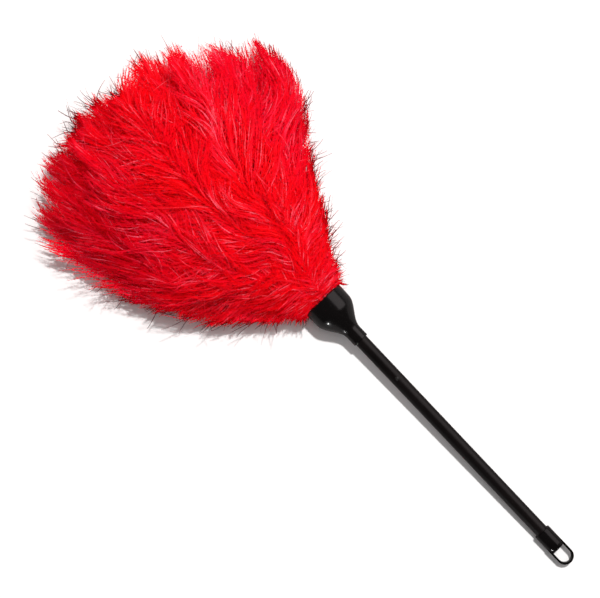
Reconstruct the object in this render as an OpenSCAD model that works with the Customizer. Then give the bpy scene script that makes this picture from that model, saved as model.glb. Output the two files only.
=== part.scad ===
// Feather duster: dyed plumes bound in three tiers round a wooden core stick,
// glued into a bell-shaped ferrule, on a hollow plastic handle tube with a
// hanging cap at its far end.
//
// Frame: the origin is the centre of the round end of the hanging eye.
// +X runs along the handle towards the plumes, +Z is square to the flat
// faces of the eye's tongue, and +Y completes the right-handed set.
// The head is shaped as it rests on a flat surface: full above (+Z),
// pressed flat below. Left is +Y, seen looking along +X.

/* [Handle tube] */
// Outside diameter of the handle tube
tube_od = 12; // [10:0.5:13]
// Wall thickness of the handle tube
tube_wall = 1.2; // [0.8:0.1:1.4]
// Distance from the eye's centre to the ferrule's neck
neck_x = 258.6; // [220:1:320]

/* [End cap] */
// Outside diameter of the cap and width of its tongue
cap_od = 15.5; // [15:0.5:18]
// Radius of the round end of the hanging eye
eye_r = 5.9; // [4.5:0.1:5.9]
// Distance from the eye's centre to its flat edge
eye_flat = 8.5; // [6:0.5:9]
// Thickness of the tongue that the eye is cut through
tongue_t = 6.4; // [4:0.2:8]
// Distance from the eye's centre to the cap's open rim
cap_rim_x = 29; // [26:0.5:36]

/* [Ferrule] */
// Outside diameter of the ferrule's neck
neck_od = 14.8; // [14.8:0.2:18]
// Outside diameter of the ferrule's mouth
mouth_od = 39; // [36:0.5:44]
// Length of the ferrule
ferrule_len = 49; // [44:1:60]
// Wall thickness of the bell
bell_wall = 1.6; // [1.2:0.1:2]

/* [Core and quills] */
// Diameter of the wooden core stick
dowel_d = 9; // [8:0.1:9]
// Diameter of a quill where it is bound
quill_d = 2.2; // [1.6:0.1:2.2]
// Diameter of the binding wire
wire_d = 0.5; // [0.4:0.1:0.6]
// Turns of wire round each tier
wire_turns = 5; // [3:1:6]

/* [Plumes] */
// Reach of the longest plume beyond the ferrule's mouth
plume_reach = 266; // [200:2:280]
// Plumes in the inner, middle and outer tier (NODES names each one)
tier_count = [10, 13, 15]; // [6:1:15]
// Half width of a plume as a share of the head's half width, by tier
vane_share = [0.105, 0.125, 0.125]; // [0.08:0.005:0.13]
// Largest half thickness of a plume
vane_half_t = 2.6; // [2:0.1:3]

/* [Hidden] */

tube_r = tube_od / 2;
cap_r = cap_od / 2;
neck_r = neck_od / 2;
mouth_r = mouth_od / 2;
dowel_r = dowel_d / 2;
quill_r = quill_d / 2;
wire_r = wire_d / 2;

// Radial clearances
socket_gap = 0.02;  // tube in its glued sockets
bore_gap = 0.1;     // core stick in the ferrule
layer_gap = 0.05;   // under each layer of quills, and round the glue
wire_gap = 0.09;    // between quills and the wire round them

// Places along X
tube_start = 14.2;              // the tube's end inside the cap
tube_end = neck_x + 14;         // the tube's end inside the ferrule
mouth_x = neck_x + ferrule_len; // plane of the ferrule's mouth
brad_x = 213;
dowel_start = 190;
dowel_end = mouth_x - 1.5;
butt_end = mouth_x - 2;
plug_start = mouth_x - 16;
plug_end = mouth_x - 4.5;
butt_start = [for (depth = [25.5, 21, 16.5]) mouth_x - depth];
wire_start = [for (depth = [22.5, 19.5, 15.5]) mouth_x - depth];

// Each tier sits on the one inside it, with one layer of wire between.
ring_r = [for (k = [0:2])
  dowel_r + layer_gap + (2 * k + 1) * quill_r + k * (wire_d + wire_gap + layer_gap)];
wire_ring_r = [for (r = ring_r) r + quill_r + wire_gap + wire_r];

// ---- helpers -------------------------------------------------------------

// A shaft along +X from x0 to x1.
module rod(x0, x1, r, fn = 64)
  translate([x0, 0, 0]) rotate([0, 90, 0]) cylinder(h = x1 - x0, r = r, $fn = fn);

// Revolves a profile of [x, radius] points about the X axis.
module lathe(profile)
  rotate([0, 90, 0]) rotate([0, 0, 90])
    rotate_extrude($fn = 96) polygon([for (point = profile) [point[1], point[0]]]);

// Smooth step from 0 to 1 as t runs from 0 to 1.
function ease(t) = t <= 0 ? 0 : t >= 1 ? 1 : t * t * (3 - 2 * t);

// Faces that skin a row of closed sections, listed one after another with
// the same number of sides; last is the index of the last section.
function skin_faces(last, sides) = concat(
  [[for (j = [0:sides - 1]) j]],
  [for (k = [0:last - 1]) for (j = [0:sides - 1]) for (half = [0, 1])
    let (a0 = k * sides + j, a1 = k * sides + (j + 1) % sides,
         b0 = a0 + sides, b1 = a1 + sides)
    half == 0 ? [a0, b0, b1] : [a0, b1, a1]],
  [[for (j = [sides - 1:-1:0]) last * sides + j]]
);

// ---- handle --------------------------------------------------------------

pin_r = 0.58;     // shank of the brad
pin_depth = 2.6;  // reach of the brad's shank below the axis

module handle_tube() {
  bore_r = tube_r - tube_wall;
  color([0.03, 0.03, 0.03])
    difference() {
      rod(tube_start, tube_end, tube_r);
      rod(tube_start - 1, tube_end + 1, bore_r);
      // drilled through the upper wall for the brad
      translate([brad_x, 0, 0]) cylinder(h = tube_r + 1, r = pin_r + 0.04, $fn = 32);
    }
}

// A small domed nail that holds the core stick in the tube.
module tube_brad() {
  head_r = 1.7;
  head_h = 0.8;
  dome_r = (head_r * head_r + head_h * head_h) / (2 * head_h);
  color([0.06, 0.06, 0.06])
    translate([brad_x, 0, 0])
      union() {
        translate([0, 0, -pin_depth])
          cylinder(h = pin_depth + tube_r + 0.1, r = pin_r, $fn = 32);
        translate([0, 0, tube_r + 0.01])
          intersection() {
            translate([0, 0, head_h - dome_r]) sphere(r = dome_r, $fn = 64);
            cylinder(h = head_h + 1, r = head_r, $fn = 48);
          }
      }
}

// The tongue's outline seen along Z, with a round end.
module tongue_outline() {
  circle(d = cap_od, $fn = 96);
  translate([0, -cap_r]) square([14, cap_od]);
}

// The hanging eye: round towards the end, square towards the tube.
module eye_outline() {
  circle(r = eye_r, $fn = 96);
  translate([0, -eye_r]) square([eye_flat, 2 * eye_r]);
}

module end_cap() {
  mark_r = 1.3;
  mark_depth = 0.35;
  color([0.02, 0.02, 0.02])
    difference() {
      union() {
        // barrel, with a shouldered end and a rounded rim
        lathe([
          [eye_flat - 1.2, 0], [eye_flat - 1.2, tongue_t / 2],
          [eye_flat + 0.2, tongue_t / 2 + 2.6], [eye_flat + 1.2, cap_r - 0.9],
          [eye_flat + 2.4, cap_r - 0.25], [eye_flat + 3.8, cap_r],
          [cap_rim_x - 0.5, cap_r], [cap_rim_x - 0.15, cap_r - 0.15],
          [cap_rim_x, cap_r - 0.5], [cap_rim_x, 0]
        ]);
        // tongue
        translate([0, 0, -tongue_t / 2])
          linear_extrude(height = tongue_t) tongue_outline();
      }
      translate([0, 0, -20]) linear_extrude(height = 40) eye_outline();
      // socket for the tube
      rod(tube_start - 0.1, cap_rim_x + 1, tube_r + socket_gap);
      // shallow moulding gate mark on top of the barrel
      translate([eye_flat + 4.6, 0, cap_r - mark_depth])
        cylinder(h = 2, r = mark_r, $fn = 32);
    }
}

// ---- ferrule -------------------------------------------------------------

// Lengths from the neck's end
neck_len = 7;      // straight neck
flare_from = 10;
flare_len = 25.5;
hollow_from = 21;  // the bell is hollow from here to the mouth
flare_share = 0.94; // share of the widening in the flare; the rest is even

// Outer radius of the bell at a distance x from the neck's end: a straight
// neck, a quick round flare, then a nearly straight skirt out to the mouth.
function bell_r(x) =
  let (t = (x - neck_len) / (ferrule_len - neck_len))
  t <= 0 ? neck_r
         : neck_r + (mouth_r - neck_r)
           * (flare_share * ease((x - flare_from) / flare_len) + (1 - flare_share) * t);

module ferrule() {
  steps = 42;
  bore_r = dowel_r + bore_gap;
  inner_r = mouth_r - bell_wall;
  outer = [for (i = [0:steps])
            let (x = neck_len + i * (ferrule_len - neck_len) / steps)
            [neck_x + x, bell_r(x)]];
  inner = [for (i = [steps:-1:0])
            let (x = hollow_from + i * (ferrule_len - hollow_from) / steps)
            [neck_x + x, max(bore_r, bell_r(x) - bell_wall)]];
  // rounded edges of the neck and the mouth
  neck_edge = [[neck_x, 0], [neck_x, neck_r - 0.45],
               [neck_x + 0.13, neck_r - 0.13], [neck_x + 0.45, neck_r]];
  mouth_edge = [[mouth_x - 0.6, mouth_r - 0.01], [mouth_x - 0.2, mouth_r - 0.2],
                [mouth_x, mouth_r - 0.65], [mouth_x, inner_r + 0.3],
                [mouth_x - 0.3, inner_r]];
  color([0.02, 0.02, 0.02])
    difference() {
      lathe(concat(
        neck_edge,
        [for (point = outer) if (point[0] < mouth_x - 0.6) point],
        mouth_edge,
        [for (point = inner) if (point[0] < mouth_x - 0.5) point],
        [[neck_x + hollow_from, 0]]
      ));
      // socket for the tube, and the core stick's bore
      rod(neck_x - 1, tube_end + 0.1, tube_r + socket_gap);
      rod(neck_x, neck_x + hollow_from + 1, bore_r);
    }
}

// Cast adhesive that fills the bell between the outer wire and the wall.
module glue_plug() {
  steps = 12;
  inner_r = wire_ring_r[2] + wire_r + layer_gap;
  wall = [for (i = [0:steps])
           let (x = plug_start + i * (plug_end - plug_start) / steps)
           [x, bell_r(x - neck_x) - bell_wall - layer_gap]];
  color([0.80, 0.70, 0.45])
    lathe(concat([[plug_start, inner_r]], wall, [[plug_end, inner_r]]));
}

// ---- core, quills and binding --------------------------------------------

module core_dowel() {
  color([0.78, 0.62, 0.42])
    difference() {
      rod(dowel_start, dowel_end, dowel_r);
      // blind hole for the brad
      translate([brad_x, 0, -pin_depth - 0.2])
        cylinder(h = 20, r = pin_r + 0.02, $fn = 32);
    }
}

// Angle of plume i in a tier, counted from +Y towards +Z.
tier_offset = [18, 7, 12];
function plume_angle(tier, i) = tier_offset[tier] + i * 360 / tier_count[tier];

module quill_butts(tier)
  color([0.85, 0.75, 0.60])
    for (i = [0:tier_count[tier] - 1])
      let (angle = plume_angle(tier, i))
        translate([0, ring_r[tier] * cos(angle), ring_r[tier] * sin(angle)])
          rod(butt_start[tier], butt_end, quill_r, 24);

// One length of wire wound round a tier in a helix.
module binding_wire(tier) {
  turn_steps = 32;
  sides = 6;
  pitch = wire_d * 1.12;
  last = wire_turns * turn_steps;
  points = [for (k = [0:last]) for (j = [0:sides - 1])
    let (turn = 360 * k / turn_steps, around = 360 * j / sides,
         r = wire_ring_r[tier] + wire_r * cos(around),
         x = wire_start[tier] + pitch * k / turn_steps + wire_r * sin(around))
    [x, r * cos(turn), r * sin(turn)]];
  color([0.62, 0.62, 0.60])
    polyhedron(points = points, faces = skin_faces(last, sides), convexity = 10);
}

// ---- plumes --------------------------------------------------------------

// The head is one smooth family of lines. A plume has a fixed place (side, up)
// in the head's cross-section: side along +Y, up along +Z, both -1 to 1.
// These give the head's half widths at a distance x beyond the mouth, and how
// far its sides droop, so plumes with separate places never meet.
root_x = 3.2;      // the plumes' free part starts here, beyond the mouth
root_half_w = 12;  // the head's half width at the mouth
tier_share = [0.36, 0.66, 0.93]; // place of each tier, from axis to edge

// Widens by spread; a longer run widens later, a higher power more abruptly.
function swell(x, spread, run, power) =
  root_half_w + spread * (1 - exp(-pow(x / run, power)));
function half_left(x) = swell(x, spread = 132, run = 88, power = 1.25);
function half_right(x) = swell(x, spread = 138, run = 150, power = 1.6);
function half_top(x) = swell(x, spread = 38, run = 75, power = 1.1);
function half_bottom(x) = swell(x, spread = 6, run = 30, power = 1) + 0.044 * x;
function half_height(up, x) = up >= 0 ? half_top(x) : half_bottom(x);
function sag(side, up, x) = 10 * side * side * ease(x / 180) * (1 + up) / 2;
function place_y(side, x) = side * (side >= 0 ? half_left(x) : half_right(x));
function place_z(side, up, x) = up * half_height(up, x) - sag(side, up, x);

// Reach of the plume at (side, up): longest near the middle, shorter towards
// the edges, with a small regular variation from plume to plume.
function reach(side, up, serial) =
  plume_reach
  * (side > 0 ? 1 - 0.21 * pow(side, 2.2) : 1 - 0.34 * pow(-side, 1.2))
  * (1 - (up > 0 ? 0.10 : 0.05) * up * up)
  * (0.985 + 0.03 * sin(serial * 137.5));

// Relative width of a vane at t, from 0 at its root to 1 at its tip: a
// narrow root, a long full vane and a blunt round tip, just short of a point.
function vane_w(t) = t < 0.06 ? 0.62 + 0.05 * t / 0.06
                   : t < 0.30 ? 0.67 + 0.33 * ease((t - 0.06) / 0.24)
                   : t < 0.80 ? 1
                   : sqrt(max(0, 1 - pow((t - 0.80) / 0.2004, 2)));

// Places of a vane's sections along it, from root to tip.
vane_stations = [0, 0.05, 0.12, 0.20, 0.30, 0.42, 0.54,
                 0.66, 0.76, 0.84, 0.90, 0.95, 0.985, 1];

module plume(tier, i) {
  sides = 14;
  max_up_share = 0.088; // keeps plumes thin where the head is shallow
  angle = plume_angle(tier, i);
  side = tier_share[tier] * cos(angle);
  up = tier_share[tier] * sin(angle);
  free_len = reach(side, up, i + 5 * tier) - root_x;
  points = [for (t = vane_stations) for (j = [0:sides - 1])
    let (x = root_x + free_len * t,
         around = 360 * j / sides,
         w = vane_w(t),
         up_share = min(max_up_share, vane_half_t / half_height(up, x))
                    * (0.35 + 0.65 * w) * min(1, w * 2.2),
         edge_side = side + vane_share[tier] * w * cos(around),
         edge_up = up + up_share * sin(around))
    [mouth_x + x, place_y(edge_side, x), place_z(edge_side, edge_up, x)]];
  color([0.86, 0.03, 0.06])
    polyhedron(points = points, faces = skin_faces(len(vane_stations) - 1, sides),
               convexity = 6);
}

// ---- nodes ---------------------------------------------------------------

function two_digits(i) = i < 10 ? str("0", i) : str(i);

handle_tube();
end_cap();
ferrule();
core_dowel();
tube_brad();
glue_plug();
quill_butts(0);  // tier_1_quill_butts
quill_butts(1);  // tier_2_quill_butts
quill_butts(2);  // tier_3_quill_butts
binding_wire(0);  // tier_1_binding_wire
binding_wire(1);  // tier_2_binding_wire
binding_wire(2);  // tier_3_binding_wire
for (t = [0:2]) for (i = [0:tier_count[t] - 1])
  plume(t, i);
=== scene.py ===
# A feather duster lying on a floor. The handle's axis is the X axis and the
# head of plumes is at its +X end; +Y is the head's left and +Z is up. The floor
# tilts in this frame. Plumes are worked out in mm, the stage in metres.
import math

import bpy
import numpy as np
from mathutils import Matrix, Vector

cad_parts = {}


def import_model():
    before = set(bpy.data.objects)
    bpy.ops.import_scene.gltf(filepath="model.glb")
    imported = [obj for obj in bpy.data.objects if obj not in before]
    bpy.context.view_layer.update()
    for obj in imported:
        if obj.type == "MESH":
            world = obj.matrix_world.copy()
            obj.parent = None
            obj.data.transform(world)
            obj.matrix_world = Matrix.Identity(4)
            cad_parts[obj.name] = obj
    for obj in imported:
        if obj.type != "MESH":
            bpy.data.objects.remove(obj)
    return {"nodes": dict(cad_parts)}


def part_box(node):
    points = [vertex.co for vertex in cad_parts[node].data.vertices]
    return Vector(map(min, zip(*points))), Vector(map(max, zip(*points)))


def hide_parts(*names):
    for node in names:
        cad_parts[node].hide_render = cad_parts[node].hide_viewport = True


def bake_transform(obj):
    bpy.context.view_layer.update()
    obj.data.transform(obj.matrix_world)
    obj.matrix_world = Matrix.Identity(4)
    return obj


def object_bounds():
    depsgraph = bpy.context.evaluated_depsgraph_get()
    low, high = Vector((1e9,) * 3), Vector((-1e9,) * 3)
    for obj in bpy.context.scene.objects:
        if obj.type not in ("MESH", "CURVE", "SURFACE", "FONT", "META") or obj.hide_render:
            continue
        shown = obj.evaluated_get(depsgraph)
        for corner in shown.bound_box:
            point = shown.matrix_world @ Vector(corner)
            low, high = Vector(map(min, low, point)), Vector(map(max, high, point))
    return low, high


# ---------------------------------------------------------------------------
# The frame
# ---------------------------------------------------------------------------
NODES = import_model()["nodes"]


def corners(box):
    """A box as two plain lists of numbers."""
    return [[float(v) for v in corner] for corner in box]


CAD_BOX = corners(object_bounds())

MM = 0.001
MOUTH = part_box("ferrule")[1].x / MM            # the ferrule's mouth
FERRULE_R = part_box("ferrule")[1].y / MM        # its outside radius
BUTT_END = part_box("tier_1_quill_butts")[1].x / MM
CAP_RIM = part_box("end_cap")[1].x / MM
CAP_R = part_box("end_cap")[1].y / MM
Z_TOP = CAD_BOX[1][2] / MM
Y_MIN, Y_MAX = CAD_BOX[0][1] / MM, CAD_BOX[1][1] / MM
X_TOP = CAD_BOX[1][0] / MM + 12.0              # barbs are slowed beyond this

# The cap's rim and the head's underside touch the floor, so in the handle's
# frame the floor falls away towards the head.
FLOOR_SLOPE = -0.0462
CAP_GAP = 0.15
FLOOR_Z0 = -CAP_R - CAP_GAP - FLOOR_SLOPE * CAP_RIM   # floor height at x = 0


def floor_z(x):
    return FLOOR_Z0 + FLOOR_SLOPE * x


# ---------------------------------------------------------------------------
# Materials
# ---------------------------------------------------------------------------
class Tree:
    """A node material, with short calls to build it."""

    def __init__(self, name):
        self.material = bpy.data.materials.new(name)
        self.material.use_nodes = True
        self.tree = self.material.node_tree
        self.tree.nodes.clear()
        self.output = self.node("ShaderNodeOutputMaterial")
        self.coords = None

    def node(self, kind, **values):
        node = self.tree.nodes.new(kind)
        self.put(node, **values)
        return node

    def put(self, node, **values):
        """Sets properties and inputs by name, with _ for a space."""
        for name, value in values.items():
            if hasattr(node, name):
                setattr(node, name, value)
            else:
                self.feed(node.inputs[name.replace("_", " ")], value)

    def feed(self, socket, value):
        """Links another node's output to an input, or sets its value."""
        if isinstance(value, bpy.types.NodeSocket):
            self.tree.links.new(value, socket)
        else:
            socket.default_value = value

    def math(self, operation, a, b, clamp=False):
        node = self.node("ShaderNodeMath", operation=operation, use_clamp=clamp)
        self.feed(node.inputs[0], a)
        self.feed(node.inputs[1], b)
        return node.outputs[0]

    def scaled(self, value, scale, offset):
        return self.math("ADD", self.math("MULTIPLY", value, scale), offset)

    def swing(self, value, amount):
        """A 0..1 value turned into a swing about zero."""
        return self.math("MULTIPLY", self.math("SUBTRACT", value, 0.5), amount)

    def ramp(self, factor, stops):
        """Colours by position; stops are (position, (r, g, b))."""
        node = self.node("ShaderNodeValToRGB")
        elements = node.color_ramp.elements
        while len(elements) < len(stops):
            elements.new(0.5)
        for element, (position, colour) in zip(elements, stops):
            element.position = position
            element.color = (*colour, 1.0)
        self.feed(node.inputs[0], factor)
        return node.outputs[0]

    def noise(self, scale, detail=3.0, rough=0.5, x_scale=None):
        """Noise in object space; a small x_scale draws it out along X."""
        node = self.node("ShaderNodeTexNoise", Scale=scale, Detail=detail, Roughness=rough)
        if self.coords is None:
            self.coords = self.node("ShaderNodeTexCoord").outputs["Object"]
        source = self.coords
        if x_scale:
            mapping = self.node("ShaderNodeMapping", Scale=(x_scale, 1.0, 1.0), Vector=source)
            source = mapping.outputs[0]
        self.put(node, Vector=source)
        return node.outputs[0]

    def mix(self, factor, a, b):
        node = self.node("ShaderNodeMix", data_type="RGBA")
        for slot, value in ((0, factor), (6, a), (7, b)):
            self.feed(node.inputs[slot], value)
        return node.outputs[2]

    def bump(self, height, strength, distance):
        node = self.node("ShaderNodeBump", Strength=strength, Distance=distance, Height=height)
        return node.outputs[0]

    def finish(self, shader):
        self.feed(self.output.inputs[0], shader.outputs[0])
        return self.material


def set_material(piece, material):
    piece.data.materials.clear()
    piece.data.materials.append(material)


def gloss_plastic(name, base, rough, rough_var, bump, grain=None, coat=0.0):
    """Black moulded plastic: slight mottling, handling scuffs, fine waviness."""
    t = Tree(name)
    shader = t.node("ShaderNodeBsdfPrincipled")
    mottle = t.ramp(t.noise(45.0, detail=4.0, rough=0.55), [
        (0.30, tuple(c * 0.75 for c in base)),
        (0.70, tuple(min(1.0, c * 1.35) for c in base)),
    ])
    specks = t.math("GREATER_THAN", t.noise(900.0, detail=2.0, rough=0.6), 0.735)
    dust_colour = (0.30, 0.29, 0.28, 1.0)
    t.put(shader, Base_Color=t.mix(t.math("MULTIPLY", specks, 0.06), mottle, dust_colour))
    smear = t.noise(28.0, detail=5.0, rough=0.62, x_scale=0.35)
    fine = t.noise(420.0, rough=0.6, x_scale=0.12)
    smeared = t.math("ADD", t.swing(smear, rough_var * 2.0), rough)
    scuffed = t.math("ADD", smeared, t.swing(fine, rough_var * 0.8), clamp=True)
    t.put(shader, Roughness=scuffed)
    height = t.noise(160.0, detail=2.0)
    if grain:
        lines = t.noise(grain, rough=0.6, x_scale=0.02)
        height = t.scaled(height, 0.4, lines)
    t.put(shader, Normal=t.bump(height, strength=bump, distance=0.00025),
          IOR=1.49, Coat_Weight=coat, Coat_Roughness=0.06)
    return t.finish(shader)


def wood_material():
    """The core dowel's wood, grained along X."""
    t = Tree("core_wood")
    shader = t.node("ShaderNodeBsdfPrincipled")
    grain = t.noise(55.0, detail=6.0, rough=0.6, x_scale=0.05)
    fine = t.noise(380.0, rough=0.6, x_scale=0.04)
    figure = t.math("ADD", t.math("MULTIPLY", grain, 0.75), t.math("MULTIPLY", fine, 0.25))
    browns = [(0.32, (0.36, 0.20, 0.09)), (0.50, (0.60, 0.41, 0.22)), (0.72, (0.72, 0.55, 0.34))]
    t.put(shader, Base_Color=t.ramp(figure, browns),
          Roughness=t.scaled(fine, scale=0.3, offset=0.5),
          Normal=t.bump(figure, strength=0.5, distance=0.0002))
    return t.finish(shader)


def wire_material():
    """Dull grey metal."""
    t = Tree("binding_wire")
    shader = t.node("ShaderNodeBsdfPrincipled", Metallic=1.0)
    tarnish = t.noise(700.0, rough=0.6)
    greys = [(0.3, (0.36, 0.35, 0.33)), (0.7, (0.62, 0.61, 0.58))]
    t.put(shader, Base_Color=t.ramp(tarnish, greys),
          Roughness=t.scaled(tarnish, scale=0.25, offset=0.22))
    return t.finish(shader)


def glue_material():
    """Lumpy amber glue that lets some light in."""
    t = Tree("set_glue")
    shader = t.node("ShaderNodeBsdfPrincipled", Subsurface_Weight=0.25, Subsurface_Scale=0.002)
    lumps = t.noise(130.0, detail=5.0, rough=0.6)
    ambers = [(0.3, (0.42, 0.24, 0.07)), (0.7, (0.72, 0.52, 0.22))]
    t.put(shader, Base_Color=t.ramp(lumps, ambers),
          Roughness=t.scaled(lumps, scale=0.3, offset=0.15),
          Normal=t.bump(lumps, strength=0.6, distance=0.0006))
    return t.finish(shader)


def quill_material():
    """Red dyed horn with a fine grain along X."""
    t = Tree("quill_horn")
    shader = t.node("ShaderNodeBsdfPrincipled", Specular_IOR_Level=0.15)
    grain = t.noise(300.0, detail=4.0, rough=0.6, x_scale=0.06)
    reds = [(0.3, (0.42, 0.004, 0.008)), (0.7, (0.66, 0.016, 0.022))]
    t.put(shader, Base_Color=t.ramp(grain, reds),
          Roughness=t.scaled(grain, scale=0.3, offset=0.4),
          Normal=t.bump(grain, strength=0.3, distance=0.0001))
    return t.finish(shader)


# The plume's two dyes, from shaded to bright. The pale pink top stops are the colour of the
# painted highlights on bright barb stems.
PURE_RED = (
    (0.00, (0.060, 0.0040, 0.0060)),
    (0.10, (0.40, 0.0010, 0.0030)),
    (0.28, (0.88, 0.0006, 0.0040)),
    (0.55, (0.975, 0.0032, 0.0115)),
    (0.76, (0.99, 0.0260, 0.0480)),
    (0.97, (1.00, 0.1700, 0.2300)),
)
CRIMSON = (
    (0.00, (0.055, 0.0040, 0.0070)),
    (0.10, (0.36, 0.0010, 0.0060)),
    (0.28, (0.80, 0.0008, 0.0180)),
    (0.55, (0.94, 0.0046, 0.0400)),
    (0.76, (0.98, 0.0320, 0.1050)),
    (0.97, (1.00, 0.1750, 0.2900)),
)


def plume_material():
    """Dyed plume: each barb has its own shade, the head has pure red and
    crimson patches, and light passes through the barbs. Bright barb stems
    carry painted highlights: thin pale lines painted into the base colour.

    The "fibre" attribute holds shade (with the painted highlights on stems), share of crimson, and
    1 on barbules."""
    t = Tree("plume_red")
    fibre = t.node("ShaderNodeAttribute", attribute_name="fibre")
    split = t.node("ShaderNodeSeparateColor")
    t.feed(split.inputs[0], fibre.outputs["Color"])
    shade, cool, barbule = split.outputs[:3]
    patch = t.noise(26.0, rough=0.55)
    fine = t.noise(620.0, detail=2.0)
    hue = t.noise(13.0, detail=2.0)
    shade = t.math("ADD", shade, t.swing(patch, 0.30))
    shade = t.math("ADD", shade, t.swing(fine, 0.12), clamp=True)
    pure = t.ramp(shade, PURE_RED)
    crimson = t.ramp(shade, CRIMSON)
    colour = t.mix(t.math("ADD", cool, t.swing(hue, 0.8), clamp=True), pure, crimson)
    shader = t.node("ShaderNodeBsdfPrincipled", Base_Color=colour, IOR=1.50)
    fine_rough = t.math("MULTIPLY", fine, 0.24)
    t.put(shader, Roughness=t.math("ADD", fine_rough, t.scaled(barbule, 0.22, 0.26)))
    # Specular: least on barbules, most on the palest stems.
    stem = t.math("SUBTRACT", 1.0, barbule)
    pale = t.math("MULTIPLY", t.math("SUBTRACT", shade, 0.72), 3.0, clamp=True)
    stem_gloss = t.math("ADD", 0.07, t.math("MULTIPLY", pale, 0.35))
    gloss = t.math("ADD", 0.02, t.math("MULTIPLY", stem, stem_gloss))
    t.put(shader, Specular_IOR_Level=gloss)
    through = t.node("ShaderNodeBsdfTranslucent", Color=colour)
    blend = t.node("ShaderNodeMixShader")
    translucent_share = 0.54
    for slot, value in enumerate((translucent_share, shader.outputs[0], through.outputs[0])):
        t.feed(blend.inputs[slot], value)
    return t.finish(blend)


for piece, material in (
    ("handle_tube", gloss_plastic("tube_black", base=(0.0034, 0.0023, 0.0023), rough=0.36,
                                  rough_var=0.08, bump=0.18, grain=900.0)),
    ("end_cap", gloss_plastic("cap_black", base=(0.0026, 0.0021, 0.0021), rough=0.17,
                              rough_var=0.06, bump=0.10)),
    ("ferrule", gloss_plastic("ferrule_black", base=(0.0022, 0.0017, 0.0017), rough=0.23,
                              rough_var=0.07, bump=0.08, coat=0.30)),
    ("tube_brad", gloss_plastic("brad_black", base=(0.018, 0.017, 0.017), rough=0.27,
                                rough_var=0.10, bump=0.12)),
    ("core_dowel", wood_material()),
):
    set_material(NODES[piece], material)
WIRE = wire_material()
set_material(NODES["glue_plug"], glue_material())
QUILL = quill_material()
PLUME = plume_material()
for tier in (1, 2, 3):
    set_material(NODES[f"tier_{tier}_quill_butts"], QUILL)
    set_material(NODES[f"tier_{tier}_binding_wire"], WIRE)

# ---------------------------------------------------------------------------
# Plumes: sizes, mm and degrees
# ---------------------------------------------------------------------------
TIER_COUNT = (10, 13, 15)
TIER_OFFSET = (18.0, 7.0, 12.0)     # direction of each tier's first plume
TIER_DENSITY = (1.25, 1.40, 1.50)   # barbs per mm of shaft, each side
STATIONS = 25                       # along a barb
STEP = np.linspace(0.0, 1.0, STATIONS)

# How far the nap spreads to +Y and -Y: distance past the mouth, then spread.
OUT_LEFT = (
    (-6, 15, 35, 47, 57, 96, 133, 166, 185, 206, 220, 235, 252, 275),
    (25, 49, 71, 85, 93, 117, 134, 152, 156, 152, 142, 130, 116, 96),
)
OUT_RIGHT = (
    (-6, 8, 20, 42, 62, 86, 101, 132, 143, 167, 184, 206, 228, 255, 275),
    (24, 31, 37, 48, 61, 74, 86, 105, 118, 125, 130, 122, 106, 90, 76),
)
OUT_SIDES = ((OUT_LEFT, 1), (OUT_RIGHT, -1))
# The head's +X end: direction from +X, positive towards -Y, then distance
# from the mouth's centre.
OUT_END = (
    (-50, -44, -40, -32, -24, -16, -8, 0, 8, 16, 24, 32, 38, 50),
    (330, 246, 242, 256, 272, 264, 260, 258, 262, 262, 236, 222, 205, 330),
)

# Swirls: axis moved, size, mm per radian along x, y and z, phase.
SWIRLS = (
    (1, 3.4, 24, 33, 16, 0.7),
    (1, 3.0, -37, 22, -21, 2.1),
    (1, 0.9, 8.5, -10.5, 8, 0.0),
    (0, 2.8, -31, 24, 18, 1.2),
    (0, 1.8, 41, 14.5, -14, 4.0),
    (0, 0.6, 9, 7, math.inf, 0.5),
)

# Barbs by their place on the shaft, 0..1: length, and the angle they make
# with the shaft at their root and at their tip.
BARB_LENGTH = ((0, 0.06, 0.16, 0.38, 0.70, 0.88, 1.0), (21, 29, 41, 54, 56, 46, 31))
ROOT_ANGLE = ((0, 0.08, 0.25, 0.6, 0.86, 1.0), (86, 76, 66, 60, 48, 14))
TIP_ANGLE = ((0, 0.08, 0.20, 0.45, 0.80, 1.0), (76, 52, 34, 25, 20, 6))
# Barbule length by place on the barb, as a share of the longest.
BARBULE_LENGTH = 2.3
BARBULE_PROFILE = ((0, 0.08, 0.3, 0.66, 0.86, 0.95, 1.0), (0.35, 0.75, 1.0, 0.92, 0.62, 0.34, 0.2))
# Chance of a bright barb, one with a painted highlight on its stem, by the slowly varying
# highlight patches.
PAINTED_HIGHLIGHT_CHANCE = ((-1, -0.2, 0.3, 1), (0.12, 0.26, 0.72, 0.90))


# ---------------------------------------------------------------------------
# Plumes: geometry helpers
# ---------------------------------------------------------------------------
def unit(v):
    length = np.linalg.norm(v, axis=-1, keepdims=True)
    return v / np.maximum(length, 1e-9)


def ease(t):
    t = np.clip(t, 0.0, 1.0)
    return t * t * (3 - 2 * t)


def soft_limit(c, knee, soft):
    """Beyond knee, c rises by less than soft."""
    return np.where(c > knee, knee + soft * np.tanh((c - knee) / soft), c)


def wander(rng, places, spacing):
    """Smooth random values in -1..1 along places, with about that spacing."""
    low, high = places.min() - spacing, places.max() + spacing
    knots = np.arange(low, high + spacing, spacing)
    values = rng.uniform(-1, 1, len(knots))
    i = np.clip(((places - low) / spacing).astype(int), 0, len(knots) - 2)
    f = (places - knots[i]) / spacing
    f = f * f * (3 - 2 * f)
    return values[i] * (1 - f) + values[i + 1] * f


def past_end(points):
    """How far points lie outside the outline of the head's +X end."""
    x, y = points[..., 0] - MOUTH, points[..., 1]
    way = np.degrees(np.arctan2(-y, np.maximum(x, 1.0)))
    tufts = (5.5 * np.cos(2 * math.pi * (way + 8.0) / 12.0)
             + 2.2 * np.sin(2 * math.pi * way / 5.3))
    return np.hypot(x, y) - np.interp(way, *OUT_END) - tufts


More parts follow.
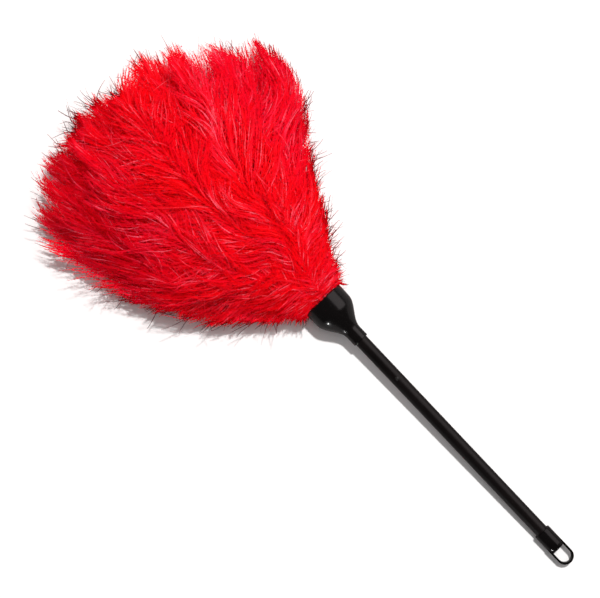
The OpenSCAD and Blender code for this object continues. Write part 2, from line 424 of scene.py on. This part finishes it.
def swirl(points):
    """The head's slow swirls: neighbouring plumes lean and wave together."""
    x, y, z = points[..., 0] - MOUTH, points[..., 1], points[..., 2]
    shift = np.zeros_like(points[..., :2])
    for axis, size, per_x, per_y, per_z, phase in SWIRLS:
        shift[..., axis] += size * np.sin(x / per_x + y / per_y + z / per_z + phase)
    moved = points.copy()
    moved[..., :2] += ease((x - 8) / 75)[..., None] * shift
    return moved


def off_ferrule(points):
    """The points' x, kept off the ferrule: barbs may only curl round it."""
    r = np.hypot(points[..., 1], points[..., 2])
    least = MOUTH + 0.8 - 7.0 * ease((r - FERRULE_R - 1.0) / 6.0)
    return np.maximum(points[..., 0], least)


def mesh_points(node):
    """A CAD piece's vertices, mm."""
    mesh = NODES[node].data
    co = np.zeros(len(mesh.vertices) * 3, np.float32)
    mesh.vertices.foreach_get("co", co)
    return co.reshape(-1, 3) / MM


def centre_line(node):
    """Centres of the CAD plume's rings, in order of x."""
    co = mesh_points(node)
    key = np.round(co[:, 0], 2)
    xs = np.unique(key)
    rings = [xs[0]]
    for x in xs[1:]:
        if x - rings[-1] > 0.5:
            rings.append(x)
    centres = []
    for x in rings:
        ring = co[np.abs(key - x) < 0.4]
        centres.append([x, *((ring[:, k].min() + ring[:, k].max()) / 2 for k in (1, 2))])
    return np.array(centres)


def butt_ring(tier):
    """The radius of a tier's ring of quills, and of one quill."""
    co = mesh_points(f"tier_{tier + 1}_quill_butts")
    r = np.hypot(co[:, 1], co[:, 2])
    return (r.min() + r.max()) / 2, (r.max() - r.min()) / 2


def smooth_curve(points, xs):
    """Cubic Hermite through points at the places xs."""
    X, V = points[:, 0], points[:, 1:]
    slope = np.gradient(V, X, axis=0)
    i = np.clip(np.searchsorted(X, xs) - 1, 0, len(X) - 2)
    h = (X[i + 1] - X[i])[:, None]
    t = ((xs - X[i]) / (X[i + 1] - X[i]))[:, None]
    h00 = 2 * t**3 - 3 * t**2 + 1
    h10 = t**3 - 2 * t**2 + t
    h01 = -2 * t**3 + 3 * t**2
    h11 = t**3 - t**2
    v = h00 * V[i] + h10 * h * slope[i] + h01 * V[i + 1] + h11 * h * slope[i + 1]
    return np.column_stack([xs, v])


def shaft_mesh(line, root_r, tip_r, sides=7):
    """A tapered, slightly flattened shaft along line, closed at both ends."""
    n = len(line)
    tangent = unit(np.gradient(line, axis=0))
    across = unit(np.cross(np.tile([0.0, 0.0, 1.0], (n, 1)), tangent))
    up = np.cross(tangent, across)
    f = np.linspace(0, 1, n)[:, None]
    radius = root_r * (1 - f) ** 1.25 + tip_r
    a = np.linspace(0, 2 * math.pi, sides, endpoint=False)[None, :, None]
    ring = across[:, None, :] * np.cos(a) + up[:, None, :] * np.sin(a) * 0.86
    co = (line[:, None, :] + ring * radius[:, None, :]).reshape(-1, 3)

    i = np.arange(n - 1)[:, None] * sides
    j = np.arange(sides)
    a0, a1 = i + j, i + (j + 1) % sides
    b0, b1 = a0 + sides, a1 + sides
    tris = [np.stack(t, -1).reshape(-1, 3) for t in ((a0, b1, b0), (a0, a1, b1))]
    first_centre, last_centre = len(co), len(co) + 1
    last = (n - 1) * sides
    tris.append(np.stack([np.full(sides, first_centre), (j + 1) % sides, j], -1))
    tris.append(np.stack([np.full(sides, last_centre), last + j, last + (j + 1) % sides], -1))
    return np.vstack([co, line[0], line[-1]]), np.vstack(tris)


def new_mesh(name, co, tris, fibre, normals, materials, material_index):
    """A mesh with a soft normal for each point. Each face is turned to the
    side its points' normals look to, so thin barbs shade as one soft nap."""
    face = np.cross(co[tris[:, 1]] - co[tris[:, 0]], co[tris[:, 2]] - co[tris[:, 0]])
    turn = np.einsum("ij,ij->i", face, normals[tris].sum(1)) < 0
    tris = np.where(turn[:, None], tris[:, ::-1], tris)

    mesh = bpy.data.meshes.new(name)
    mesh.vertices.add(len(co))
    mesh.vertices.foreach_set("co", (co * MM).astype(np.float32).ravel())
    mesh.loops.add(len(tris) * 3)
    mesh.loops.foreach_set("vertex_index", tris.astype(np.int32).ravel())
    mesh.polygons.add(len(tris))
    mesh.polygons.foreach_set("loop_start", np.arange(0, len(tris) * 3, 3, dtype=np.int32))
    mesh.polygons.foreach_set("use_smooth", np.ones(len(tris), bool))
    for material in materials:
        mesh.materials.append(material)
    mesh.polygons.foreach_set("material_index", material_index.astype(np.int32))
    mesh.update(calc_edges=True)

    rgba = np.ones((len(co), 4), np.float32)
    rgba[:, :3] = fibre
    mesh.attributes.new("fibre", "FLOAT_COLOR", "POINT").data.foreach_set("color", rgba.ravel())
    custom = mesh.attributes.new("custom_normal", "FLOAT_VECTOR", "POINT")
    custom.data.foreach_set("vector", normals.astype(np.float32).ravel())
    mesh.update()
    made = bpy.data.objects.new(name, mesh)
    bpy.context.scene.collection.objects.link(made)
    return made


# ---------------------------------------------------------------------------
# Plumes. A plume and its two rows of barbs draw from one random stream, so
# the order of the draws is part of the design. A part of a plume is its
# points, triangles, fibre values and normals.
# ---------------------------------------------------------------------------
class Plume:
    """A plume's shaft, and the traits its barbs share."""

    def __init__(self, tier, index):
        self.tier, self.index = tier, index
        self.cad_node = f"plume_{tier + 1}_{index + 1:02d}"
        self.rng = rng = np.random.default_rng(7100 + 100 * tier + index)
        angle = math.radians(TIER_OFFSET[tier] + index * 360.0 / TIER_COUNT[tier])
        self.cos, self.sin = math.cos(angle), math.sin(angle)
        self.upper = self.sin > -0.15
        self.ring_r, self.quill_r = butt_ring(tier)
        self.shape_line()
        steps = np.linalg.norm(np.diff(self.line, axis=0), axis=1)
        self.arc = np.concatenate([[0], np.cumsum(steps)])
        self.barb_start = self.arc[np.searchsorted(self.line[:, 0], MOUTH + 1.0)]
        rise = (1 if self.upper else -1) * max(abs(self.sin), 0.62)
        self.up = unit(np.array([0.0, 0.52 * self.cos, rise]))
        self.side_of = 1.0 if self.cos > 0 else -1.0      # the head's side it is on
        self.tone = 0.07 * rng.uniform(-1, 1)
        self.spread = rng.uniform(1.1, 2.0)
        self.tufted = rng.uniform() < 0.5

    def shape_line(self):
        """From its bound end in the ferrule, out along the CAD plume, with a
        bow of its own; an upper plume's tip hangs over."""
        rng = self.rng
        y, z = self.ring_r * self.cos, self.ring_r * self.sin
        root = np.array([[BUTT_END + 0.1, y, z], [BUTT_END + 2.6, y * 1.01, z * 1.01]])
        cad = centre_line(self.cad_node)
        points = np.vstack([root, cad[cad[:, 0] > MOUTH + 3.0]])
        stagger = 7.0 * math.sin(2.4 * self.index + 1.3 * self.tier)
        x_end = cad[-1, 0] - (15.0 if self.cos < 0 else 11.0) + stagger
        line = smooth_curve(points, np.linspace(points[0, 0], x_end, 150))
        f = (line[:, 0] - MOUTH) / (x_end - MOUTH)
        bow = rng.uniform(-1, 1, 2)
        turns = rng.uniform(0.9, 1.5)
        wave = ease(f / 0.9) * np.sin(np.clip(f, 0, 1) * math.pi * turns + bow[1])
        line[:, 1] += 4.2 * bow[0] * wave
        line[:, 2] += (2.0 if self.upper else 0.6) * bow[1] * ease(f)
        hang = (6.5 + 6.0 * max(0.0, self.sin)) if self.upper else 0.5
        line[:, 2] -= hang * ease((f - 0.62) / 0.38) ** 1.5
        side_curl = rng.uniform(-1, 1) * 7.0
        line[:, 1] += side_curl * ease((f - 0.6) / 0.4) ** 1.5
        self.line, self.outside = line, f > 0.02
        self.raise_off_floor(line, self.outside, gap=1.6)

    @staticmethod
    def raise_off_floor(line, outside, gap):
        low = floor_z(line[:, 0]) + gap
        line[:, 2] = np.where(outside, np.maximum(line[:, 2], low), line[:, 2])

    def point(self, arc):
        return np.column_stack([np.interp(arc, self.arc, self.line[:, k]) for k in range(3)])

    def shaft_part(self):
        shaft = swirl(self.line)[::3]
        self.raise_off_floor(shaft, self.outside[::3], gap=1.2)
        co, tris = shaft_mesh(shaft, root_r=self.quill_r * 0.92, tip_r=0.18)
        near = np.clip(np.searchsorted(shaft[:, 0], co[:, 0]), 0, len(shaft) - 1)
        fibre = np.tile([0.22, 0.4, 0.0], (len(co), 1))
        return co, tris, fibre, unit(co - shaft[near] + np.array([0.0, 0.0, 1e-4]))


class BarbRow:
    """The barbs on one side of a plume: ribbons edged with barbules. Arrays
    run over the barbs, then the stations along a barb, then x, y, z."""

    def __init__(self, plume, side):
        self.plume, self.side, self.rng = plume, side, plume.rng
        start = plume.barb_start
        span = plume.arc[-1] - start
        self.count = n = int(span * TIER_DENSITY[plume.tier])
        self.arc = np.sort(start + span * (np.arange(n) + self.rng.uniform(0, 0.9, n)) / n)
        self.place = (self.arc - start) / span
        self.base = plume.point(self.arc)
        self.tangent = unit(plume.point(self.arc + 2.0) - plume.point(self.arc - 2.0))
        self.up = unit(plume.up - self.tangent * (self.tangent @ plume.up)[:, None])
        self.out = np.cross(self.up, self.tangent) * side
        self.grow()
        self.cling()
        self.fit_to_head()
        self.trim()
        self.round_off()

    def vary(self, centre, wave, spacing, scatter):
        """A value for each barb: a slow wave along the shaft plus scatter."""
        slow = wander(self.rng, self.arc, spacing)
        return centre + wave * slow + scatter * self.rng.normal(size=self.count)

    def angles(self):
        """Length, angle from the shaft at root and tip, lift at root and tip."""
        plume, rng, n, place, vary = self.plume, self.rng, self.count, self.place, self.vary
        length = np.interp(place, *BARB_LENGTH)
        length = length * vary(1, wave=0.12, spacing=10.0, scatter=0.11)
        tip = np.interp(place, *TIP_ANGLE)
        root = vary(np.interp(place, *ROOT_ANGLE), wave=9, spacing=15.0, scatter=5)
        if plume.tufted:
            # The last barbs close up into a tuft.
            end = ease((place - 0.55) / 0.4)
            length = length * (1 + 0.25 * ease((place - 0.8) / 0.2))
            root, tip = root * (1 - 0.45 * end), tip * (1 - 0.75 * end)
        # Barbs facing the head's side open differently from those facing in.
        reach = abs(plume.cos)
        facing = self.out[:, 1]
        outward = np.clip(facing * plume.side_of, 0, 1) * reach * (plume.tier / 2.0)
        inward = np.clip(-1.5 * facing * plume.side_of, 0, 1) * min(1.0, 1.8 * reach)
        opening = plume.spread + (1.0 - plume.spread) * np.clip(1.3 * outward, 0, 1)
        tip = tip * (opening * (1 - inward) + 0.62 * inward)
        root = root * (1 - 0.22 * inward)
        tip = vary(tip, wave=15, spacing=22.0, scatter=5) * (1 - 0.08 * outward)
        lift_root = vary(34, wave=20, spacing=16.0, scatter=9)
        lift_tip = vary(2, wave=9, spacing=13.0, scatter=5)
        lift_root = lift_root * (1 - 0.3 * inward)
        # Some barbs rise and lie over the shaft.
        self.over = over = rng.uniform(size=n) < 0.16
        root = np.where(over, root * 0.35, root)
        tip = np.where(over, tip * 0.45 - 6, tip)
        lift_root = np.where(over, lift_root + 14, lift_root)
        # Some stray, more of them near the tip and on the head's -Y side.
        chance = (0.065 + 0.085 * ease((place - 0.72) / 0.15)
                  + 0.11 * outward * (plume.side_of < 0))
        self.stray = stray = rng.uniform(size=n) < chance
        root = np.where(stray, root + 14 * rng.normal(size=n), root)
        tip = np.where(stray, tip + 34 * rng.normal(size=n) + 24 * outward, tip)
        if not plume.upper:
            lift_root, lift_tip = lift_root * 0.45, lift_tip * 0.5 - 2
        return [a[:, None] for a in (length, root, tip, lift_root, lift_tip)]

    def grow(self):
        """A barb leaves the shaft steeply and soon sweeps round to lie along it."""
        rng, n = self.rng, self.count
        length, root, tip, lift_root, lift_tip = self.angles()
        curl = self.vary(0, wave=24, spacing=13.0, scatter=9)[:, None]
        bend = self.vary(0, wave=15, spacing=9.0, scatter=7)[:, None]
        sweep = np.radians(tip + (root - tip) * np.exp(-STEP / 0.20)
                           + curl * (STEP ** 2 - 0.25)
                           + bend * np.sin(2 * math.pi * STEP))[:, :, None]
        lift = np.radians(lift_tip + (lift_root - lift_tip) * np.exp(-STEP / 0.30))[:, :, None]
        tangent, out, up = (a[:, None, :] for a in (self.tangent, self.out, self.up))
        way = (tangent * np.cos(sweep) + out * np.sin(sweep)) * np.cos(lift) + up * np.sin(lift)
        fall = self.vary(0.30, wave=0.16, spacing=15.0, scatter=0.07)
        fall = fall * (1.0 if self.plume.upper else 0.1)
        way[:, :, 2] -= fall[:, None] * STEP ** 1.4
        phase = rng.uniform(0, 2 * math.pi, n)[:, None]
        rate = rng.uniform(1.0, 2.4, n)[:, None]
        wobble = 0.09 * np.sin(rate * math.pi * STEP + phase)
        way = unit(way + up * wobble[:, :, None])
        step = length[:, :, None] / (STATIONS - 1) * way
        path = np.cumsum((step[:, :-1] + step[:, 1:]) / 2, axis=1)
        self.path = self.base[:, None, :] + np.concatenate([np.zeros((n, 1, 3)), path], axis=1)

    def cling(self):
        """Neighbouring barbs cling together in locks."""
        rng, n = self.rng, self.count
        lock = np.zeros(n, int)
        pull = np.zeros(n)
        self.lock_tone = np.zeros(n)
        start = 0
        while start < n:
            size = int(rng.integers(5, 17))
            members = slice(start, start + size)
            lock[members] = min(n - 1, start + size // 2)
            pull[members] = rng.uniform(0.0, 0.62) ** 1.1
            self.lock_tone[members] = rng.uniform(-1, 1)
            start += size
        pull = np.where(self.stray | self.stray[lock], 0.0, pull)
        pull = np.where(self.over != self.over[lock], pull * 0.25, pull)
        target = self.path[lock] + (self.base - self.base[lock])[:, None, :] * 0.34
        w = (pull[:, None] * STEP ** 1.3)[:, :, None]
        self.path = self.path * (1 - w) + target * w

    def fit_to_head(self):
        """Swirl with the head, clear the ferrule and rest on the floor."""
        path = self.path = swirl(self.path)
        path[:, :, 0] = off_ferrule(path)
        path[:, :, 0] = soft_limit(path[:, :, 0], knee=X_TOP, soft=8.0)
        layer = 0.5 * (np.arange(self.count) % 5)[:, None] * STEP
        path[:, :, 2] = np.maximum(path[:, :, 2], floor_z(path[:, :, 0]) + 0.35 + layer)

    def trim(self):
        """A barb that would pass the head's outline is shorter, not bent back;
        at the +X end some plumes stand out a little in tufts."""
        path, n = self.path, self.count
        edge = self.vary(-4.0, wave=5.0, spacing=7.0, scatter=2.6)
        overshoot = np.where(self.stray, 5.0 + 15.0 * self.rng.uniform(size=n), 0.0)
        edge = (edge + overshoot)[:, None]
        phase = 2.9 * self.plume.index + 1.7 * self.plume.tier + 0.5 * self.side
        self.ragged = 4.5 + 5.5 * math.sin(phase)
        for _ in range(3):
            keep = np.ones(n)
            for table, sign in OUT_SIDES:
                limit = np.interp(path[:, :, 0] - MOUTH, *table) + edge
                widest = (Y_MAX if sign > 0 else -Y_MIN) + 11.5 - 0.25 * np.abs(edge)
                limit = np.minimum(limit, widest)
                c, root = path[:, :, 1] * sign, path[:, :1, 1] * sign
                fit = (limit - root) / np.maximum(c - root, 0.5)
                fit = np.where((c > limit) & (c > root + 0.5), fit, 1.0)
                keep = np.minimum(keep, fit.min(axis=1))
            past = past_end(path) - edge - self.ragged
            root = past[:, :1]
            fit = -root / np.maximum(past - root, 0.5)
            fit = np.where((past > 0) & (past > root + 0.5), fit, 1.0)
            keep = np.minimum(keep, fit.min(axis=1))
            keep = np.clip(keep, 0.22, 1.0)[:, None, None]
            path = path[:, :1] + (path - path[:, :1]) * keep
        self.path = path

    def round_off(self):
        """Soft outer limits, and rim: 0 within the head, 1 at its outline."""
        path = self.path
        rim = ease((past_end(path) + 11.0 - 0.5 * self.ragged) / 10.0)
        # Axis, limit, softness, sign.
        for axis, limit, soft, sign in (
            (2, Z_TOP + 8.5, 9.0, 1), (1, Y_MAX + 15.0, 3.0, 1), (1, 15.0 - Y_MIN, 3.0, -1),
        ):
            path[:, :, axis] = soft_limit(path[:, :, axis] * sign, limit - soft, soft) * sign
        for table, sign in OUT_SIDES:
            limit = np.interp(path[:, :, 0] - MOUTH, *table)
            rim = np.maximum(rim, ease((path[:, :, 1] * sign - limit + 10.0) / 8.0))
        self.rim = rim

    def part(self):
        rng, n, path, up = self.rng, self.count, self.path, self.up[:, None, :]
        tangent = unit(np.gradient(path, axis=1))
        flat = unit(np.cross(tangent, up))
        upright = np.cross(flat, tangent)
        roll = rng.uniform(-0.8, 0.8, n)[:, None]
        roll = (roll + rng.uniform(-0.8, 0.8, n)[:, None] * STEP)[:, :, None]
        across = flat * np.cos(roll) + upright * np.sin(roll)
        normal = upright * np.cos(roll) - flat * np.sin(roll)
        # Painted highlights: bright barbs gather in slowly varying patches along the shaft.
        highlight_patches = wander(rng, self.arc, 9.0)
        self.bright = rng.uniform(size=n) < np.interp(highlight_patches, *PAINTED_HIGHLIGHT_CHANCE)
        taper = (0.13 * (1 - STEP) ** 0.7 + 0.045)[None, :, None]
        at_rim = 1 + self.rim * np.where(self.stray, 1.7, 0.5)[:, None]
        half = taper * (np.where(self.bright, 1.15, 1.0)[:, None] * at_rim)[:, :, None]
        barbules = [self.barbule_tips(s, tangent, across, normal) for s in (1, -1)]
        co = np.concatenate([path + across * half, path - across * half, *barbules], axis=1)
        fibre = self.fibre_values()

        # Soft normals: mostly the nap's own up, a little of the barb's turn.
        soft = unit(up + 0.22 * normal + 0.12 * rng.normal(size=(n, 1, 3)) + 0.08 * tangent)
        tips = unit(soft[:, :-1] + 0.07 * rng.normal(size=(n, STATIONS - 1, 3)))
        normals = np.concatenate([soft, soft, tips, tips], axis=1)
        return co.reshape(-1, 3), self.triangles(), fibre.reshape(-1, 3), normals.reshape(-1, 3)

    def barbule_tips(self, edge, tangent, across, normal):
        """The free points of the barbules on one edge of the ribbon."""
        rng, shape = self.rng, (self.count, STATIONS - 1)
        profile = np.interp((STEP[:-1] + STEP[1:]) / 2, *BARBULE_PROFILE)
        thin = np.where(self.stray, 0.35, 1.0)[:, None]
        varied = (1 + 0.28 * rng.normal(size=shape)).clip(0.3, 1.7)
        length = BARBULE_LENGTH * profile * thin * varied
        lean = np.radians(22 + 8 * rng.normal(size=shape))
        tilt = np.radians(30 * rng.normal(size=shape))[:, :, None]
        sideways = edge * across[:, :-1] * np.cos(tilt) + normal[:, :-1] * np.sin(tilt)
        tips = (self.path[:, :-1] + tangent[:, :-1] * (length * np.cos(lean))[:, :, None]
                + sideways * (length * np.sin(lean))[:, :, None])
        tips[:, :, 0] = off_ferrule(tips)
        tips[:, :, 2] = np.maximum(tips[:, :, 2], floor_z(tips[:, :, 0]) + 0.2)
        return tips

    def triangles(self):
        """Ribbon faces and barbules; a barb's points are its first edge, its
        second edge, then each edge's barbule tips."""
        k = np.arange(STATIONS - 1)
        a0, a1, b0, b1 = k, k + 1, STATIONS + k, STATIONS + k + 1
        tip_a, tip_b = 2 * STATIONS + k, 3 * STATIONS - 1 + k
        barb = np.concatenate([np.stack(t, -1) for t in (
            (a0, a1, b1), (a0, b1, b0), (a1, a0, tip_a), (b0, b1, tip_b))])
        first = np.arange(self.count) * (4 * STATIONS - 2)
        return (barb + first[:, None, None]).reshape(-1, 3)

    def fibre_values(self):
        """Shade (on stems, with painted highlights added), share of crimson and barbule flag for
        each point.
        """
        rng, n, y = self.rng, self.count, self.base[:, 1]
        centre = 0.50 + self.plume.tone + 0.07 * self.lock_tone
        shade = self.vary(centre, wave=0.06, spacing=22.0, scatter=0.045)
        shade = shade.clip(0, 0.82)[:, None]
        # Barbs at the outline go dark toward their tips, strays the most.
        share = np.where(self.stray, 1.0, 0.95 * rng.uniform(size=n) ** 1.2)[:, None]
        dusk = (self.rim * ease((STEP - 0.18) / 0.45) * share).clip(0, 1)
        # A bright barb's stem gets a painted highlight: its colour is made paler over part of its
        # length.
        painted_highlight = ((0.20 + 0.31 * rng.uniform(size=n)) * self.bright)[:, None]
        highlight_spot = self.vary(0.5, wave=0.28, spacing=12.0, scatter=0.16)[:, None]
        width = rng.uniform(0.10, 0.28, n)[:, None]
        highlight_window = np.exp(-((STEP - highlight_spot) / width) ** 2)
        stem = (shade + 0.05 + painted_highlight * highlight_window).clip(0, 0.99) * (1 - dusk) ** 1.5
        cool = (0.24 + 0.44 * ease((y - 5) / 110) + 0.46 * ease((-y - 16) / 48)
                + 0.24 * self.lock_tone + 0.10 * rng.normal(size=n))
        barbule = 2 * STATIONS                    # index of the first barbule tip
        fibre = np.zeros((n, 4 * STATIONS - 2, 3))
        fibre[:, :barbule, 0] = np.tile(stem, 2)
        fibre[:, :, 1] = cool.clip(0, 1)[:, None]
        fibre[:, barbule:, 2] = 1.0
        tip_shade = (shade + 0.03 * rng.normal(size=(n, 2 * STATIONS - 2))).clip(0, 0.84)
        fibre[:, barbule:, 0] = tip_shade * (1 - np.tile(dusk[:, :-1], 2)) ** 1.2
        return fibre


def build_plume(tier, index):
    plume = Plume(tier, index)
    parts = [plume.shaft_part()] + [BarbRow(plume, side).part() for side in (1, -1)]
    co, tris, fibre, normals = zip(*parts)
    shaft_faces = len(tris[0])
    first = np.cumsum([0] + [len(c) for c in co])
    tris = np.vstack([t + start for t, start in zip(tris, first)])
    material_index = np.zeros(len(tris), int)
    material_index[:shaft_faces] = 1
    feather = new_mesh(f"feather_{tier + 1}_{index + 1:02d}", np.vstack(co), tris,
                       np.vstack(fibre), np.vstack(normals), [PLUME, QUILL], material_index)
    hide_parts(plume.cad_node)
    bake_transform(feather)
    return feather


PLUMES = bpy.data.collections.new("plumes_only")
for tier in range(3):
    for index in range(TIER_COUNT[tier]):
        PLUMES.objects.link(build_plume(tier, index))

# ---------------------------------------------------------------------------
# Stage, in metres
# ---------------------------------------------------------------------------
scene = bpy.context.scene
FLOOR_HALF = 4.0

# The camera's right and up, and the point it looks down on.
TURN = math.radians(46.6)
RIGHT = Vector((-math.cos(TURN), -math.sin(TURN), 0.0))
UP = Vector((math.sin(TURN), -math.cos(TURN), 0.0))
AIM = Vector((0.3213, 0.0140, 0.0))
CAMERA_HEIGHT = 1.75
VIEW_WIDTH = 0.5238                 # across the picture, at the handle's axis


def paper_material():
    """Near-white paper; glossy rays see a painted dark grey instead, so it looks dark in
    reflections.
    """
    t = Tree("floor_paper")
    shader = t.node("ShaderNodeBsdfPrincipled", Roughness=0.62, Specular_IOR_Level=0.2)
    whites = [(0.3, (0.875, 0.875, 0.878)), (0.7, (0.895, 0.893, 0.895))]
    paper = t.ramp(t.noise(9.0), whites)
    path = t.node("ShaderNodeLightPath")
    painted_reflection_grey = (0.17, 0.16, 0.16, 1.0)
    t.put(shader, Base_Color=t.mix(path.outputs["Is Glossy Ray"], paper, painted_reflection_grey))
    return t.finish(shader)


def add_floor():
    h = FLOOR_HALF
    mesh = bpy.data.meshes.new("floor")
    mesh.from_pydata([(x, y, FLOOR_Z0 * MM + FLOOR_SLOPE * x)
                      for x, y in ((-h, -h), (h, -h), (h, h), (-h, h))], [], [(0, 1, 2, 3)])
    floor = bpy.data.objects.new("floor", mesh)
    scene.collection.objects.link(floor)
    set_material(floor, paper_material())


def add_light(data, location, toward):
    """Links a light whose back is turned to the direction toward."""
    light = bpy.data.objects.new(data.name, data)
    light.rotation_mode = "QUATERNION"
    light.rotation_quaternion = toward.to_track_quat("Z", "Y")
    light.location = location
    scene.collection.objects.link(light)
    return light


def add_key():
    """A small, high sun from the -Y side."""
    sun = bpy.data.lights.new("key", "SUN")
    sun.energy = 2.95
    sun.angle = math.radians(3.0)
    sun.color = (1.0, 0.985, 0.97)
    to_light = Vector((0.182, -0.357, 0.915)).normalized()
    add_light(sun, AIM + to_light * 3, to_light).visible_glossy = False


def add_area(name, location, size, radiance, color=(1, 1, 1)):
    """A rectangular light aimed at AIM."""
    data = bpy.data.lights.new(name, "AREA")
    data.shape = "RECTANGLE"
    data.size, data.size_y = size
    data.energy = radiance * math.pi * size[0] * size[1]
    data.color = color
    return add_light(data, location, Vector(location) - AIM)


def add_world():
    """Dim for what the plastic mirrors, pale where the camera sees it."""
    world = bpy.data.worlds.new("studio")
    world.use_nodes = True
    tree = world.node_tree
    tree.nodes.clear()
    output = tree.nodes.new("ShaderNodeOutputWorld")
    path = tree.nodes.new("ShaderNodeLightPath")
    links = [(path.outputs["Is Camera Ray"], 0)]
    for slot, color, strength in ((1, (1.0, 0.93, 0.93, 1), 0.042), (2, (1, 1, 1, 1), 0.93)):
        background = tree.nodes.new("ShaderNodeBackground")
        background.inputs[0].default_value = color
        background.inputs[1].default_value = strength
        links.append((background.outputs[0], slot))
    mix = tree.nodes.new("ShaderNodeMixShader")
    for source, slot in links:
        tree.links.new(source, mix.inputs[slot])
    tree.links.new(mix.outputs[0], output.inputs[0])
    scene.world = world


def add_camera():
    """Looks straight down on AIM."""
    data = bpy.data.cameras.new("camera")
    camera = bpy.data.objects.new("camera", data)
    data.sensor_width = 36.0
    data.sensor_fit = "HORIZONTAL"
    data.lens = 36.0 * CAMERA_HEIGHT / VIEW_WIDTH
    data.clip_end = 20
    camera.matrix_world = Matrix((
        (RIGHT.x, UP.x, 0, AIM.x),
        (RIGHT.y, UP.y, 0, AIM.y),
        (0, 0, 1, CAMERA_HEIGHT),
        (0, 0, 0, 1),
    ))
    scene.collection.objects.link(camera)
    scene.camera = camera


add_floor()
add_key()
add_area("softbox", (0.32, -1.10, 0.85), size=(1.9, 1.3), radiance=0.80, color=(1.0, 0.90, 0.905))
fill = add_area("fill", (0.32, -0.15, 2.3), size=(2.2, 2.2), radiance=1.25,
                color=(1.0, 0.99, 0.985))
fill.visible_glossy = False
plume_fill = add_area("fill_plumes", (0.42, -0.10, 2.25), size=(2.2, 2.2), radiance=0.85,
                      color=(1.0, 0.985, 0.985))
plume_fill.visible_glossy = False
plume_fill.light_linking.receiver_collection = PLUMES
# A small low light, seen only in reflections.
glint = add_area("glint", tuple(AIM + UP * -1.09 + RIGHT * -0.153 + Vector((0, 0, 0.067))),
                 size=(0.045, 0.045), radiance=170.0)
glint.visible_diffuse = False
add_world()
add_camera()

scene.cycles.diffuse_bounces = 10
scene.cycles.max_bounces = 14

scene.view_settings.view_transform = "Standard"
scene.view_settings.look = "None"
scene.view_settings.exposure = 0.0
scene.view_settings.gamma = 1.0
